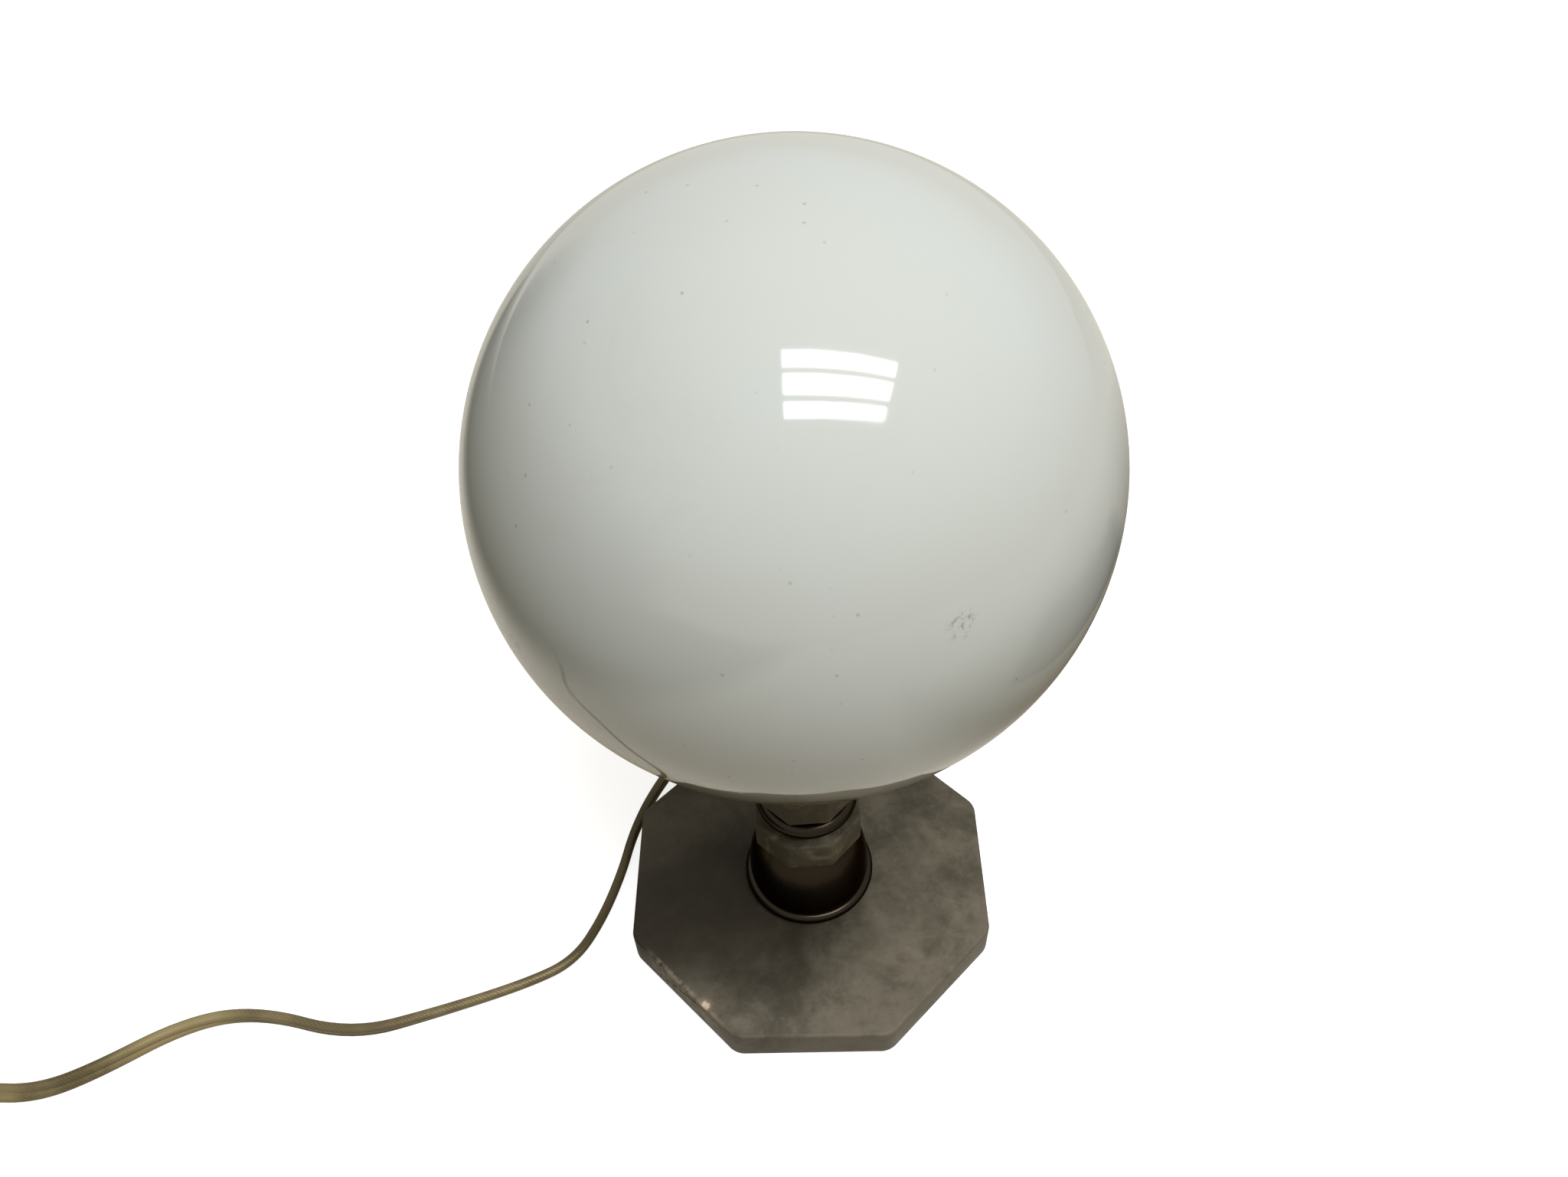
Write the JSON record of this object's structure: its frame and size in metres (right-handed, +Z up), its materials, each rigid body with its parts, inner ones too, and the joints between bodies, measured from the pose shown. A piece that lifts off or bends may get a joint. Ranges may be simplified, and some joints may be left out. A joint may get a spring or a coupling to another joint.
{
  "type": "table lamp",
  "caption": "Table lamp with an opal glass globe in a screw gallery, on turned brass and marble blocks over an octagonal marble base, with a corded switch and plug.",
  "frame": {"origin": "centre of the felt's underside, where the lamp stands on the table", "axes": "+Z up along the stem, -Y to the front, through one flat of the octagonal base; the cord leaves at the back, +Y"},
  "size_m": [0.482, 0.2032, 0.2657],
  "materials": {
    "base_marble": "honed, clouded grey and olive",
    "block_marble": "polished, grey and olive",
    "brass": "bare",
    "bulb_black": "black glass",
    "bulb_glass": "frosted",
    "bulb_metal": "bright",
    "cord_plastic": "translucent gold",
    "dark_brass": "dark patina",
    "felt": "felt",
    "holder_plastic": "moulded",
    "opal_glass": "glossy opal",
    "pin_metal": "nickel plated",
    "plated_steel": "zinc plated",
    "plug_plastic": "moulded bronze",
    "porcelain": "unglazed",
    "relief_plastic": "moulded",
    "rocker_plastic": "moulded",
    "rubber_ring": "matt",
    "switch_plastic": "moulded bronze"
  },
  "bodies": {
    "base": {"felt_pad": "felt", "base_slab": "base_marble", "base_washer": "plated_steel", "base_nut": "plated_steel", "stem_tube": "plated_steel", "bell_collar": "dark_brass", "lower_block": "block_marble", "lower_spacer": "dark_brass", "upper_block": "block_marble", "upper_spacer": "dark_brass", "gallery": "dark_brass", "gallery_washer": "plated_steel", "gallery_nut": "plated_steel", "seat_ring": "rubber_ring", "holder_cap": "holder_plastic", "holder_core": "porcelain", "holder_shell": "holder_plastic", "holder_sleeve": "brass", "holder_tongue": "brass", "cord_relief": "relief_plastic", "lamp_leads": "cord_plastic", "cord_inlet": "cord_plastic", "cord_lead": "cord_plastic", "cord_link": "cord_plastic", "cord_coil": "cord_plastic", "cord_tail": "cord_plastic", "switch_base": "switch_plastic", "switch_cover": "switch_plastic", "switch_screws": "plated_steel", "switch_terminals": "brass", "switch_contact": "brass", "plug_body": "plug_plastic", "plug_pins": "pin_metal", "plug_relief": "plug_plastic"},
    "globe": {"globe": "opal_glass", "globe_neck": "opal_glass"},
    "thumb_screw_1": {"thumb_screw_1": "brass"},
    "thumb_screw_2": {"thumb_screw_2": "brass"},
    "thumb_screw_3": {"thumb_screw_3": "brass"},
    "bulb": {"bulb_glass": "bulb_glass", "bulb_cap": "bulb_metal", "bulb_insulator": "bulb_black", "bulb_contact": "bulb_metal"},
    "rocker": {"switch_rocker": "rocker_plastic"}
  },
  "joints": [
    {"name": "globe_lift", "type": "slide", "parent": "base", "child": "globe", "axis": [0, 0, 1], "range_m": [0, 0.1]},
    {"name": "thumb_screw_1_slide", "type": "slide", "parent": "base", "child": "thumb_screw_1", "axis": [0, 1, 0], "range_m": [0, 0.004]},
    {"name": "thumb_screw_2_slide", "type": "slide", "parent": "base", "child": "thumb_screw_2", "axis": [-0.866, -0.5, 0], "range_m": [0, 0.004]},
    {"name": "thumb_screw_3_slide", "type": "slide", "parent": "base", "child": "thumb_screw_3", "axis": [0.866, -0.5, 0], "range_m": [0, 0.004]},
    {"name": "bulb_lift", "type": "slide", "parent": "base", "child": "bulb", "axis": [0, 0, 1], "range_m": [0, 0.03]},
    {"name": "rocker_tilt", "type": "hinge", "parent": "base", "child": "rocker", "pos_m": [-0.306, -0.067, 0.0104], "axis": [0, 1, 0], "range_deg": [0, 16]}
  ]
}
